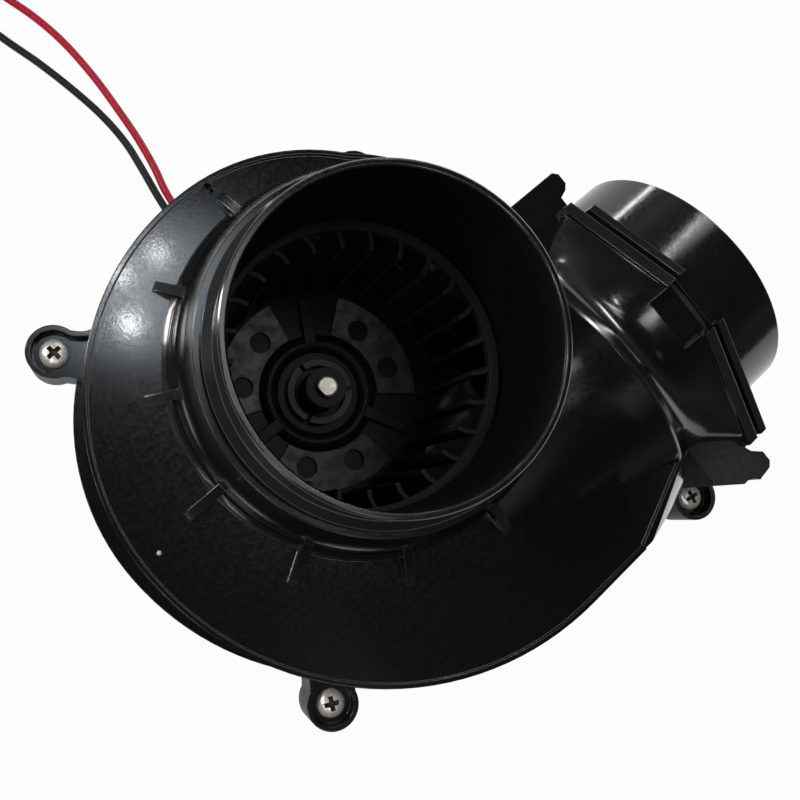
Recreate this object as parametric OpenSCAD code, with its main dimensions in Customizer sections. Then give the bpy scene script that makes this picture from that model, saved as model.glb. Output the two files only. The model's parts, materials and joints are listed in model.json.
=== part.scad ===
// Intake boost fan: a 12 V centrifugal blower with a moulded two-part scroll, a hose neck on
// the inlet, a push-in outlet pipe and a squirrel-cage impeller on a brushed motor.
// The fan axis is +Z, the outlet blows along +X, and the motor's rear face stands on z = 0.

/* [Inlet neck] */
// Outside diameter of the neck that the intake hose slides over
inlet_d = 76; // [66:1:80]
// Wall of the neck
neck_wall = 1.8; // [1.4:0.1:2.4]
// Height of the neck above the front face
neck_h = 37; // [32:1:46]
// Outside diameter of the wide collar at the foot of the neck
collar_d = 91; // [88:1:93]
// Height of that collar
collar_h = 13.6; // [11:0.2:16]
// How far the hose bead stands out from the neck
bead_rise = 2.2; // [1:0.1:2.6]
// Number of gusset ribs round the collar
rib_count = 8; // [4:1:9]
// How far each gusset reaches out where the scroll is wide
rib_reach = 9.5; // [7:0.5:10]
// How far each gusset reaches out where the scroll is narrow
rib_short = 6.4; // [5:0.2:7]
// Height of each gusset on the collar
rib_h = 6; // [4:0.5:10]
// Thickness of each gusset
rib_t = 2.4; // [1.4:0.1:3]

/* [Scroll] */
// Outside height of the scroll, rear cover to front face
scroll_h = 68; // [64:1:74]
// Wall of the front half
wall = 2.5; // [2:0.1:3]
// Wall of the rear cover
rear_wall = 2.6; // [2:0.1:3]
// Radius of the first quarter turn of the scroll
spiral_r = 51.4; // [50:0.2:54]
// Growth of the scroll radius over each quarter turn
spiral_grow = 12.5; // [11:0.5:14]
// Radius of the scroll at its tongue
tongue_r = 52; // [50:0.5:54]
// Height of the rear cover, back face to parting face
rear_h = 17; // [14:1:20]
// Width of the parting flange outside the scroll wall
flange_w = 4.2; // [3:0.2:6]
// Thickness of the flange on each half
flange_t = 3; // [2:0.2:4]
// Height of the raised lip round the front face
lip_h = 0.8; // [0.6:0.1:1.6]
// Width of that lip
lip_w = 1.2; // [1:0.1:2]

/* [Outlet] */
// Outside diameter of the outlet pipe
outlet_d = 76; // [70:1:78]
// Wall of the outlet pipe
pipe_wall = 2; // [1.6:0.1:3]
// Distance from the fan axis to the mouth of the pipe
outlet_reach = 100.2; // [96:0.1:120]
// Width of the duct where it leaves the scroll
duct_w = 78.6; // [76:0.2:80]
// Distance from the fan axis to the shoulder where the flat face ends
shoulder_x = 50; // [48:0.5:52]
// Radius of the rounded duct at that shoulder
shoulder_r = 45; // [44:0.1:46]
// Outside diameter of the round throat behind the pipe
throat_d = 74; // [72:0.5:75]
// Distance from the fan axis to the mating face of the throat flange
joint_x = 77; // [75:0.5:80]
// Thickness of the flange on the throat
rim_t = 3.3; // [2.4:0.1:4]
// Thickness of the flange on the pipe
plate_t = 2.2; // [1.6:0.1:3]
// Gap between the two outlet flanges, filled by the gasket
plate_gap = 1.6; // [1.4:0.1:2.4]
// Height of the peak of the outlet flanges above the outlet axis
plate_top = 41.5; // [40.5:0.1:43]
// Width of the outlet flanges from the outlet axis to the corners on the tongue side
plate_far_w = 40; // [39:0.1:41]
// Width of the outlet flanges from the outlet axis to the corners on the other side
plate_near_w = 43.8; // [42:0.1:45]
// Half height of the outlet flanges at their corners
plate_half_h = 24; // [20:0.5:26]
// Width of the key notch in the top of the outlet flanges
key_w = 15; // [10:1:20]
// Thickness of the two hooks that guard the flange ends
hook_t = 6; // [4:0.2:7]
// Clear gap between a hook and the end of the throat flange
hook_gap = 3.4; // [2.4:0.2:5]

/* [Screw lugs] */
// Outside radius of each lug
lug_r = 7.2; // [6.6:0.1:8]
// Distance of the lug centres outside the scroll wall
lug_out = 11.3; // [10:0.1:12]
// Diameter of the housing screws
screw_d = 4; // [3:0.1:4.2]
// Diameter of the pan heads
head_d = 8; // [6:0.1:8.6]
// Height of the pan heads
head_h = 2.6; // [1.8:0.1:3]

/* [Impeller] */
// Outside diameter of the impeller ring
impeller_d = 75; // [70:1:76]
// Height of the impeller, back plate to front ring
impeller_h = 55; // [50:0.5:57]
// Inside radius of the blades
blade_in = 30.5; // [29:0.1:32]
// Thickness of each blade
blade_t = 1.2; // [0.8:0.1:1.6]
// Number of blades
blade_count = 26; // [18:1:32]
// Height of the front ring
ring_h = 3; // [2:0.5:5]
// Thickness of the back plate
plate_h = 2; // [1.6:0.1:2.6]
// Radius of the hub boss
boss_r = 5.9; // [5.2:0.1:6.4]
// Height of the hub boss above the back plate
boss_h = 13; // [10:1:15]

/* [Motor] */
// Diameter of the motor
motor_d = 56; // [54:1:60]
// Distance from the rest face to the back of the rear cover
motor_back = 38; // [36:1:46]
// Wall of the motor can
can_wall = 1.5; // [1:0.1:2]
// Height of the motor's end cap
cap_h = 9; // [8:0.5:10]
// Diameter of the shaft
shaft_d = 6; // [5:0.1:6.4]
// How far the shaft stands out of the hub boss
shaft_proud = 2.5; // [1:0.5:5]
// Air gap between armature and magnets
air_gap = 0.8; // [0.5:0.1:1.2]
// Radial clearance of the shaft in its bushes
running_gap = 0.03; // [0.02:0.01:0.08]
// Clearance between parts that are pressed or screwed together
fit_gap = 0.05; // [0.02:0.01:0.1]

/* [Leads] */
// Outside diameter of each lead
lead_d = 2.6; // [2.4:0.1:2.8]

/* [Hidden] */
$fn = 96;
far = 400;
cut = 0.5;
plastic = [0.07, 0.07, 0.075];
grey_plastic = [0.42, 0.42, 0.40];
steel = [0.70, 0.70, 0.72];
rubber = [0.10, 0.10, 0.10];

// Heights of the stack
back_z = motor_back;
part_z = back_z + rear_h;
face_z = back_z + scroll_h;
rim_z = face_z + neck_h;
mid_z = back_z + scroll_h / 2;

// Neck profile
neck_r = inlet_d / 2;
bore_r = neck_r - neck_wall;
collar_r = collar_d / 2;
collar_draft = 0.9;
shoulder_rise = 6.8;
foot_w = 1.8;
foot_h = 2.2;
groove_h = 1.6;
bead_h = 3;
rim_soft = 0.4;
hollow_gap = 2.2;

// Outlet
outlet_y = -(spiral_r + 2.5 * spiral_grow) + duct_w / 2;
duct_x = 26;
throat_r = throat_d / 2;
pipe_r = outlet_d / 2;
throat_bore_r = throat_r - 2.4;
pipe_plate_x = joint_x + plate_gap;
step_x = shoulder_x + 5;
dome_x = -8;
dome_r = scroll_h / 2 - 0.6;
flare_x = shoulder_x - 9.5;
flare_r = shoulder_r - 2.6;
ridge_soft = 0.8;
key_back = 9;
far_out = plate_far_w + hook_gap + hook_t;
near_out = plate_near_w + hook_gap + 0.8 + hook_t;
hook_back = 15;
hook_tip = plate_gap + plate_t;
hook_soft = 1.4;
hook_root = 12;
pipe_far_w = plate_far_w - 4.5;
spigot_l = 8;
pipe_foot = 0.6;

// Screws and lugs: two on the scroll, one at each side of the outlet
lug_turns = [133.7, 230.2, 42];
lug_h = 7;
lug_floor = 3;
lug_rim = 1.4;
lug_fillet = 6;
bridge_w = 2 * lug_r - 1.8;
outlet_lug = [joint_x - 10, outlet_y - near_out - 1.85];
pilot_r = screw_d / 2 + fit_gap;
screw_l = 13;

// Impeller
impeller_r = impeller_d / 2;
cover_gap = 3.4;
impeller_z = back_z + rear_wall + cover_gap;
web_z = impeller_z + plate_h;
ring_w = 2.5;
blade_curve = 7;
pad_h = 1.5;
pad_in = 17.8;
pad_out = 29.6;
pad_turn = 118.8;
pad_angle = 78;
dimple_r = 3.1;
dimple_ring = 22.6;
dimple_half = 18.5;
bolster_r = 14.8;
bolster_w = 2.6;
bolster_h = 1.9;
bolster_round = 3.2;
spoke_t = 3.4;
clip_in = 7.7;
clip_out = 9.6;
clip_h = 3.6;
clip_slit = 1.2;
clip_turn = 87;

// Motor
motor_r = motor_d / 2;
can_top = back_z - 1.6;
can_in = motor_r - can_wall;
nose_r = 8;
bush_r = 6;
shaft_r = shaft_d / 2;
shaft_low = 2;
shaft_top = web_z + boss_h + shaft_proud;
flat_depth = 0.7;
flat_h = 9;
flat_turn = 184;
core_r = 20;
core_low = 18;
core_h = 12;
magnet_in = core_r + air_gap;
magnet_angle = 140;
comm_r = 7;
comm_low = cap_h - 1.8;
comm_h = 6;
winding_h = 3.4;
cap_wall = 2;
cap_floor = 1.2;
cup_gap = 0.3;
cup_wall = 2.2;
cup_h = 14;
motor_screw_ring = 16;
motor_screw_d = 3;
motor_head_d = 5.6;
motor_head_h = 1.9;
motor_bite = 4;

// Leads: hand-chosen routes along the surface that the fan stands on
lead_r = lead_d / 2;
lead_y = 29.5;
lead_x = [9, 12.5];
lead_z = 5.5;
floor_z = 1.4;
coil_c = [-6, 192];
coil_in = 11.8;
coil_out = 17.4;
coil_low = 0.6;
coil_top = 8.4;
black_route = [
    [9, 29.5, 5.5], [9, 34, 5.5], [9, 40, 4.9], [9, 47, 3.6], [9, 55, 2.2], [9.2, 64, 1.5],
    [9.8, 74, 1.4], [11, 84, 1.4], [13, 95, 1.4], [14.4, 105, 1.4], [14.2, 116, 1.4],
    [12.4, 128, 1.4], [9.2, 142, 1.4], [5, 156, 1.4], [3, 166, 1.4], [3.4, 175, 1.5],
    [5.6, 184, 1.7], [7.2, 192, 1.9]
];
red_route = [
    [12.5, 29.5, 5.5], [12.5, 34, 5.5], [12.5, 40, 4.9], [12.5, 47, 3.6], [12.5, 55, 2.2],
    [12.6, 64, 1.5], [13, 74, 1.4], [14.2, 84, 1.4], [16.6, 93, 1.4], [18.6, 104, 1.4],
    [19.8, 116, 1.4], [20.6, 129, 1.4], [20.2, 143, 1.4], [18.2, 155, 1.4], [14.8, 166, 1.4],
    [11.8, 175, 1.5], [10.2, 184, 1.7], [9.9, 192, 1.9]
];

// Plan of the scroll, grown by d: quarter arcs about the corners of a square, the tongue and the duct
module scroll_plan(d) {
    circle(r = tongue_r + d);
    for (q = [0:2])
        translate(spiral_grow / sqrt(2) * [cos(135 + 90 * q), sin(135 + 90 * q)])
            rotate(90 * q)
                intersection() {
                    circle(r = spiral_r + q * spiral_grow + d);
                    square(far);
                }
    translate([spiral_grow / 2, outlet_y - duct_w / 2 - d])
        square([duct_x - spiral_grow / 2, duct_w + 2 * d]);
}

// Plan of the flat front face, which narrows over the throat to the chord of the round shoulder
module face_plan(d) {
    chord = sqrt(pow(shoulder_r, 2) - pow(scroll_h / 2, 2));
    scroll_plan(d);
    polygon([
        [duct_x - cut, outlet_y - duct_w / 2 - d], [shoulder_x, outlet_y - chord - d],
        [shoulder_x, outlet_y + chord + d], [duct_x - cut, outlet_y + duct_w / 2 + d]
    ]);
}

// Turns a plan drawn in (across, up) so that it stands across the outlet axis at x
module across_outlet(x, h) {
    translate([x, outlet_y, mid_z])
        rotate([90, 0, 90])
            linear_extrude(h) children();
}

// Duct that changes from the scroll's rectangle to the round shoulder, shrunk by d:
// a box that a wide cone about the outlet axis rounds off towards the shoulder
module throat_loft(d, end_x) {
    corner_r = norm([duct_w, scroll_h]) / 2 + 1;
    intersection() {
        translate([duct_x - cut, outlet_y - duct_w / 2 + d, back_z + d])
            cube([end_x - duct_x + cut, duct_w - 2 * d, scroll_h - 2 * d]);
        translate([duct_x, outlet_y, mid_z])
            rotate([0, 90, 0])
                cylinder(r1 = corner_r - d, r2 = shoulder_r - d, h = shoulder_x - duct_x);
    }
}

// Round of the throat, shrunk by d: a slow cone that rises out of both flat faces up to a ridge at
// the shoulder; the air way inside then steps down to the throat
module throat_dome(d) {
    half_w = duct_w / 2 - d;
    inner_r = d > 0 ? throat_bore_r : throat_r;
    drop_x = d > 0 ? step_x - d / 2 : shoulder_x + ridge_soft;
    intersection() {
        translate([0, outlet_y, mid_z])
            rotate([0, 90, 0])
                rotate_extrude()
                    polygon([
                        [0, dome_x], [dome_r - d, dome_x], [flare_r - d, flare_x - d / 2],
                        [shoulder_r - d, shoulder_x - ridge_soft - d / 2],
                        [shoulder_r - d - ridge_soft / 2, shoulder_x + ridge_soft / 2 - d / 2],
                        [inner_r, drop_x], [0, drop_x]
                    ]);
        union() {
            translate([duct_x - cut, outlet_y - half_w, 0])
                cube([far, 2 * half_w, far]);
            for (low = [back_z + rear_wall / 2 - far, d > 0 ? back_z : face_z - wall / 2])
                translate([dome_x - cut, outlet_y - half_w, low])
                    cube([duct_x - dome_x, 2 * half_w, far]);
        }
    }
}

// Corners of the outlet flange, with a gable at top and bottom, shrunk by d
function gable_points(far_w, d) =
    let(
        slope = (plate_top - plate_half_h) / (plate_far_w - key_w / 2),
        far_h = plate_half_h + (plate_far_w - far_w) * slope
    )
    [
        [-key_w / 2, plate_top - d], [-plate_near_w + d, plate_half_h - d / 2],
        [-plate_near_w + d, -plate_half_h + d / 2], [-key_w / 2, -plate_top + d],
        [key_w / 2, -plate_top + d], [far_w - d, -far_h + d / 2], [far_w - d, far_h - d / 2],
        [key_w / 2, plate_top - d]
    ];

// Distance from the outlet axis to a convex outline in the direction a
function reach_to(points, a) =
    min([
        for (i = [0 : len(points) - 1])
            let(
                edge = points[(i + 1) % len(points)] - points[i],
                out = [edge.y, -edge.x] / norm(edge),
                lean = out * [cos(a), sin(a)]
            )
            if (lean > 0.01) out * points[i] / lean
    ]);

// Outlet flange, notched at the top for the key
module flange_plan(far_w, notch_r) {
    difference() {
        polygon(gable_points(far_w, 0));
        translate([-key_w / 2 - cut, notch_r])
            square([key_w + 2 * cut, plate_top]);
    }
}

// Body behind the throat flange: it falls away from the ridge in a hollow curve and spreads again
// to the gabled outline, and the key notch runs back into it
module flange_body() {
    skin = 0.8;
    sides = 80;
    steps = 11;
    low_x = shoulder_x - ridge_soft / 2;
    high_x = joint_x - rim_t + cut;
    edge_r = shoulder_r - ridge_soft / 2;
    waist_r = throat_r + skin;
    waist_at = 0.5;
    outline = gable_points(plate_far_w, 1.5 * skin);
    points = [
        for (j = [0 : steps])
            let(
                t = j / steps,
                fall = pow(max(0, 1 - t / waist_at), 2),
                spread = pow(t, 2.2),
                r = waist_r + (edge_r - waist_r) * fall
            )
            for (k = [0 : sides - 1])
                let(a = 360 * k / sides, q = r + (reach_to(outline, a) - r) * spread)
                    [low_x + (high_x - low_x) * t, outlet_y + q * cos(a), mid_z + q * sin(a)]
    ];
    walls = [
        for (j = [0 : steps - 1], k = [0 : sides - 1])
            let(
                p = j * sides + k,
                q = j * sides + (k + 1) % sides
            )
            each [[p, p + sides, q + sides], [p, q + sides, q]]
    ];
    hubs = [[low_x, outlet_y, mid_z], [high_x, outlet_y, mid_z]];
    ends = [
        for (k = [0 : sides - 1])
            let(
                next = (k + 1) % sides,
                last = steps * sides,
                hub = last + sides
            )
            each [[hub, k, next], [hub + 1, last + next, last + k]]
    ];
    difference() {
        polyhedron(concat(points, hubs), concat(walls, ends));
        translate([joint_x - key_back, outlet_y - key_w / 2, mid_z + throat_r])
            cube([key_back, key_w, plate_top]);
    }
}

// Hook on the tongue side: a straight arm whose nib stands past the pipe flange
module far_hook_plan() {
    inner = plate_far_w + hook_gap;
    polygon([
        [joint_x - hook_back, plate_far_w - hook_root], [joint_x - hook_back, far_out],
        [joint_x + hook_tip - hook_soft, far_out], [joint_x + hook_tip, far_out - hook_soft],
        [joint_x + hook_tip, inner + hook_soft], [joint_x + hook_tip - hook_soft, inner],
        [joint_x, inner - hook_gap / 4], [joint_x, plate_far_w - hook_root]
    ]);
}

// Hook on the other side: an arm that flares out from the shoulder and curls in to a blunt tip
module near_hook_plan() {
    inner = near_out - hook_t;
    mirror([0, 1])
        polygon([
            [joint_x - hook_back - 3, plate_near_w - hook_root],
            [joint_x - hook_back - 3, plate_near_w + 2.2],
            [joint_x - hook_back / 2, near_out], [joint_x - hook_soft, near_out - hook_soft / 2],
            [joint_x, near_out - 1.5 * hook_soft], [joint_x, inner + hook_soft / 2],
            [joint_x - 2 * hook_soft, plate_near_w + 2.3],
            [joint_x - plate_t - hook_soft, plate_near_w + 0.4],
            [joint_x, plate_near_w - cut], [joint_x, plate_near_w - hook_root]
        ]);
}

// Both hooks from the parting face up to the corners of the flange
module hooks() {
    translate([0, outlet_y, part_z])
        linear_extrude(mid_z + plate_half_h - 2.5 - part_z) {
            far_hook_plan();
            near_hook_plan();
        }
}

// Base plate of the outlet at the parting face, with the bridge to its lug
module outlet_base(low, h) {
    translate([0, outlet_y, low])
        linear_extrude(h) {
            far_hook_plan();
            near_hook_plan();
            translate([shoulder_x - cut, -plate_near_w + hook_root / 2])
                square([joint_x - shoulder_x, plate_near_w + plate_far_w - hook_root]);
        }
    translate([outlet_lug.x - bridge_w / 2, outlet_lug.y, low])
        cube([bridge_w, outlet_y - outlet_lug.y, h]);
}

// Round throat, its flange and the shoulder: the outside of the outlet end of the scroll
module outlet_outside() {
    throat_loft(0, shoulder_x);
    throat_dome(0);
    across_outlet(step_x - cut, joint_x - step_x + cut)
        circle(r = throat_r);
    flange_body();
    across_outlet(joint_x - rim_t, rim_t)
        flange_plan(plate_far_w, throat_r);
}

// Air way through the outlet end of the scroll
module outlet_inside() {
    throat_loft(wall, shoulder_x - wall);
    throat_dome(wall);
    across_outlet(step_x - 2 * wall, joint_x - step_x + 2 * wall + cut)
        circle(r = throat_bore_r);
}

// Half space above or below the parting face
module above_parting() {
    translate([-far / 2, -far / 2, part_z])
        cube(far);
}

module below_parting() {
    translate([-far / 2, -far / 2, part_z - far])
        cube(far);
}

// Radius of the scroll wall in a direction, taken from the arc of that quarter turn
function spiral_at(a) =
    let(
        q = floor(a / 90),
        c = spiral_grow / sqrt(2),
        off = a - 135 - 90 * q,
        r = spiral_r + q * spiral_grow
    )
    max(tongue_r, c * cos(off) + sqrt(r * r - pow(c * sin(off), 2)));

lug_spots = concat(
    [for (a = lug_turns) (spiral_at(a) + lug_out) * [cos(a), sin(a)]],
    [outlet_lug]
);

// Places its children at each lug, turned so that the scroll lies towards -X
module at_lugs(z) {
    for (p = lug_spots)
        translate([p.x, p.y, z]) children();
}

// Plan of the lugs on the scroll, shrunk by d: a round end and a bridge that flares into the wall
module lug_plan(d) {
    for (i = [0 : len(lug_turns) - 1])
        rotate(lug_turns[i])
            translate([norm(lug_spots[i]), 0]) {
                circle(r = lug_r - d);
                translate([-lug_out - wall / 2, -bridge_w / 2 + d])
                    square([lug_out + wall / 2, bridge_w - 2 * d]);
                for (side = [-1, 1])
                    difference() {
                        translate([-lug_out - wall / 2, side > 0 ? 0 : -bridge_w / 2 - lug_fillet])
                            square([lug_fillet + wall / 2, bridge_w / 2 + lug_fillet]);
                        translate([lug_fillet - lug_out, side * (bridge_w / 2 + lug_fillet)])
                            circle(r = lug_fillet + d);
                    }
            }
}

// Full height of every lug
module lug_solid(low, h) {
    translate([0, 0, low])
        linear_extrude(h) {
            lug_plan(0);
            translate(outlet_lug)
                circle(r = lug_r);
        }
}

// Floor of every lug, and the rim that stands on it and is open towards the scroll
module lug_tray() {
    lug_solid(part_z, lug_floor);
    translate([0, 0, part_z])
        linear_extrude(lug_h)
            difference() {
                lug_plan(0);
                lug_plan(lug_rim);
            }
    translate([outlet_lug.x, outlet_lug.y, part_z])
        cylinder(r = lug_r, h = lug_h);
}

// Neck profile from the front face up, as a ring of revolution
module inlet_neck() {
    shoulder_top = collar_h + shoulder_rise;
    groove_top = shoulder_top + groove_h;
    bead_r = neck_r + bead_rise;
    groove_r = neck_r + bead_rise / 2;
    translate([0, 0, face_z])
        rotate_extrude()
            polygon([
                [bore_r, -wall], [collar_r + foot_w, -wall], [collar_r + foot_w, foot_h / 10],
                [collar_r + foot_w / 3, foot_h / 2], [collar_r, foot_h], [collar_r - collar_draft, collar_h],
                [bead_r + 1.6, shoulder_top], [groove_r, shoulder_top], [groove_r, groove_top],
                [bead_r, groove_top + rim_soft], [bead_r, groove_top + bead_h / 2],
                [neck_r, groove_top + bead_h], [neck_r, neck_h - rim_soft],
                [neck_r - rim_soft, neck_h], [bore_r + rim_soft, neck_h], [bore_r, neck_h - rim_soft]
            ]);
}

// Space under the collar, which keeps the moulding at an even wall
module collar_hollow() {
    translate([0, 0, face_z - wall - cut])
        difference() {
            cylinder(r = collar_r - collar_draft - hollow_gap, h = collar_h - hollow_gap + wall + cut);
            translate([0, 0, -cut])
                cylinder(r = neck_r, h = collar_h + wall + 2);
        }
}

// Gussets between collar and front face, shorter on the narrow side of the scroll
module collar_ribs() {
    first = 91.2;
    apart = 30;
    sunk = 0.3;
    inner = collar_r - collar_draft - 1;
    translate([0, 0, face_z - sunk])
        for (i = [0 : rib_count - 1])
            let(turn = first + i * apart, outer = collar_r + (turn < 165 ? rib_short : rib_reach))
                rotate([90, 0, turn])
                    translate([0, 0, -rib_t / 2])
                        linear_extrude(rib_t)
                            polygon([
                                [inner, 0], [outer, 0], [outer, sunk + 0.6], [outer - 1.2, sunk + 1.6],
                                [inner, sunk + rib_h]
                            ]);
}

module front_scroll() color(plastic) {
    vent_r = 1.1;
    vent_turn = 92;
    difference() {
        union() {
            translate([0, 0, part_z])
                linear_extrude(face_z - part_z) scroll_plan(0);
            translate([0, 0, part_z])
                linear_extrude(flange_t) scroll_plan(flange_w);
            translate([0, 0, face_z - cut])
                linear_extrude(lip_h + cut)
                    difference() {
                        face_plan(0);
                        face_plan(-lip_w);
                        translate([shoulder_x - lip_w, outlet_y - duct_w])
                            square([far, 2 * duct_w]);
                    }
            inlet_neck();
            collar_ribs();
            intersection() {
                outlet_outside();
                above_parting();
            }
            hooks();
            outlet_base(part_z, flange_t);
            lug_tray();
        }
        translate([0, 0, part_z - cut])
            linear_extrude(face_z - wall - part_z + cut) scroll_plan(-wall);
        translate([0, 0, face_z - wall - cut])
            cylinder(r = bore_r, h = neck_h + wall + 2 * cut);
        collar_hollow();
        outlet_inside();
        at_lugs(part_z - cut)
            cylinder(r = screw_d / 2 + 0.2, h = lug_h + 2 * cut);
        translate([outlet_lug.x, outlet_lug.y, part_z + lug_floor])
            cylinder(r = lug_r - lug_rim, h = lug_h);
        at_lugs(part_z + lug_floor)
            cylinder(r = head_d / 2 + 0.4, h = scroll_h);
        rotate(vent_turn)
            translate([spiral_at(vent_turn) - lip_w - 1.2 * vent_r, 0, face_z - wall])
                cylinder(r = vent_r, h = wall + lip_h + cut);
    }
}

module rear_scroll() color(plastic) {
    cup_r = motor_r + cup_gap;
    gusset_count = 6;
    gusset_l = 12;
    gusset_t = 2;
    difference() {
        union() {
            translate([0, 0, back_z])
                linear_extrude(rear_h) scroll_plan(0);
            translate([0, 0, part_z - flange_t])
                linear_extrude(flange_t) scroll_plan(flange_w);
            intersection() {
                outlet_outside();
                below_parting();
            }
            outlet_base(part_z - flange_t, flange_t);
            lug_solid(part_z - lug_h, lug_h);
            at_lugs(part_z - screw_l)
                cylinder(r = lug_r - lug_rim, h = screw_l);
            translate([0, 0, back_z - cup_h])
                cylinder(r = cup_r + cup_wall, h = cup_h + cut);
            for (i = [0 : gusset_count - 1])
                rotate([90, 0, 30 + i * 360 / gusset_count])
                    translate([cup_r + cup_wall / 2, back_z + cut, -gusset_t / 2])
                        linear_extrude(gusset_t)
                            polygon([[0, 0], [gusset_l, 0], [gusset_l, -cut - 1], [0, -cup_h + 2]]);
        }
        translate([0, 0, back_z + rear_wall])
            linear_extrude(rear_h) scroll_plan(-wall);
        translate([0, 0, back_z - cup_h - cut])
            cylinder(r = cup_r, h = cup_h + cut);
        outlet_inside();
        translate([0, 0, back_z - cut])
            cylinder(r = nose_r + cup_gap, h = rear_wall + 2 * cut);
        at_motor_screws(back_z - cut)
            cylinder(r = motor_screw_d / 2 + 0.2, h = rear_wall + 2 * cut);
        at_lugs(part_z - screw_l + lug_floor)
            cylinder(r = pilot_r, h = screw_l);
    }
}

module outlet_pipe() color(plastic) {
    spigot_r = throat_bore_r - fit_gap;
    translate([0, outlet_y, mid_z])
        rotate([0, 90, 0])
            rotate_extrude()
                polygon([
                    [spigot_r - pipe_wall, joint_x - spigot_l], [spigot_r, joint_x - spigot_l],
                    [spigot_r, pipe_plate_x], [pipe_r - pipe_foot, pipe_plate_x],
                    [pipe_r - pipe_foot, pipe_plate_x + plate_t], [pipe_r, pipe_plate_x + plate_t],
                    [pipe_r, outlet_reach - rim_soft],
                    [pipe_r - rim_soft, outlet_reach], [pipe_r - pipe_wall, outlet_reach],
                    [pipe_r - pipe_wall, pipe_plate_x + 2 * plate_t], [spigot_r - pipe_wall, pipe_plate_x]
                ]);
    difference() {
        across_outlet(pipe_plate_x, plate_t)
            flange_plan(pipe_far_w, pipe_r);
        across_outlet(pipe_plate_x - cut, plate_t + 2 * cut)
            circle(r = pipe_r - pipe_wall / 2);
    }
}

module outlet_gasket() color(rubber) {
    across_outlet(joint_x, plate_gap)
        difference() {
            circle(r = throat_r);
            circle(r = throat_bore_r);
        }
}

// Pan-head screw, its head standing on z = 0
module pan_screw(d, l, hd, hh) {
    cross_w = d / 4;
    cross_l = hd * 0.58;
    difference() {
        union() {
            intersection() {
                cylinder(r = hd / 2, h = hh);
                translate([0, 0, hh - hd])
                    sphere(r = hd);
            }
            translate([0, 0, -l])
                cylinder(r = d / 2, h = l + cut);
        }
        for (a = [0, 90])
            rotate(a)
                translate([-cross_l / 2, -cross_w / 2, hh * 0.45])
                    cube([cross_l, cross_w, hh]);
    }
}

module housing_screws() color(steel) {
    at_lugs(part_z + lug_floor)
        pan_screw(screw_d, screw_l - 1, head_d, head_h);
}

// Forward-curved blade: the part of a thin ring that lies between the inner and outer blade circles
module blade_plan() {
    outer = impeller_r - ring_w / 2;
    intersection() {
        difference() {
            circle(r = outer);
            circle(r = blade_in);
        }
        translate([blade_in + blade_t / 2, blade_curve])
            difference() {
                circle(r = blade_curve + blade_t / 2, $fn = 64);
                circle(r = blade_curve - blade_t / 2, $fn = 64);
            }
        translate([blade_in - blade_t, -blade_t])
            square([2 * blade_curve, blade_curve]);
    }
}

// Light sector on the back plate between two spokes
module pad_plan() {
    intersection() {
        difference() {
            circle(r = pad_out);
            circle(r = pad_in);
        }
        polygon([
            [0, 0], far * [cos(pad_angle / 2), -sin(pad_angle / 2)],
            [far, 0], far * [cos(pad_angle / 2), sin(pad_angle / 2)]
        ]);
    }
}

module impeller() color(grey_plastic) {
    spoke_out = pad_out - 1;
    spoke_in = bolster_r;
    difference() {
        union() {
            translate([0, 0, impeller_z])
                cylinder(r = impeller_r, h = plate_h);
            translate([0, 0, web_z - cut])
                linear_extrude(impeller_h - plate_h - cut)
                    for (i = [0 : blade_count - 1])
                        rotate(i * 360 / blade_count) blade_plan();
            translate([0, 0, impeller_z + impeller_h - ring_h])
                linear_extrude(ring_h)
                    difference() {
                        circle(r = impeller_r);
                        circle(r = impeller_r - ring_w);
                    }
            for (i = [0:2])
                rotate(pad_turn + i * 120) {
                    translate([0, 0, web_z - cut])
                        linear_extrude(pad_h + cut)
                            difference() {
                                pad_plan();
                                for (side = [-1, 1])
                                    rotate(side * dimple_half)
                                        translate([dimple_ring, 0])
                                            circle(r = dimple_r, $fn = 32);
                            }
                    rotate(60)
                        translate([spoke_in, -spoke_t / 2, web_z - cut])
                            cube([spoke_out - spoke_in, spoke_t, pad_h + 0.7 + cut]);
                }
            translate([0, 0, web_z])
                rotate_extrude()
                    intersection() {
                        translate([bolster_r, bolster_h - bolster_round])
                            circle(r = bolster_round, $fn = 48);
                        translate([bolster_r - bolster_w, -cut])
                            square([2 * bolster_w, bolster_h + 2 * cut]);
                    }
            translate([0, 0, web_z - cut])
                cylinder(r = boss_r, h = boss_h + cut);
        }
        translate([0, 0, impeller_z - cut])
            cylinder(r = shaft_r + fit_gap, h = boss_h + plate_h + 2 * cut);
    }
}

// Three-segment collar seated on the back plate round the hub boss
module hub_clip() color([0.55, 0.55, 0.53]) {
    translate([0, 0, web_z])
        linear_extrude(clip_h)
            difference() {
                circle(r = clip_out);
                circle(r = clip_in);
                for (i = [0:2])
                    rotate(clip_turn + i * 120)
                        translate([0, -clip_slit / 2])
                            square([far, clip_slit]);
            }
}

module motor_shaft() color(steel) {
    difference() {
        translate([0, 0, shaft_low])
            cylinder(r = shaft_r, h = shaft_top - shaft_low);
        rotate(flat_turn)
            translate([shaft_r - flat_depth, -shaft_d, shaft_top - flat_h])
                cube([shaft_d, 2 * shaft_d, flat_h + cut]);
    }
}

module armature_core() color([0.45, 0.45, 0.47]) {
    slots = 10;
    slot_w = 5;
    slot_mouth = 2;
    slot_in = 11;
    slot_out = core_r - 3;
    translate([0, 0, core_low])
        linear_extrude(core_h)
            difference() {
                circle(r = core_r);
                circle(r = shaft_r + fit_gap);
                for (i = [0 : slots - 1])
                    rotate(i * 360 / slots) {
                        translate([slot_in, -slot_w / 2])
                            square([slot_out - slot_in, slot_w]);
                        translate([slot_in, -slot_mouth / 2])
                            square([core_r, slot_mouth]);
                    }
            }
}

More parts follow.
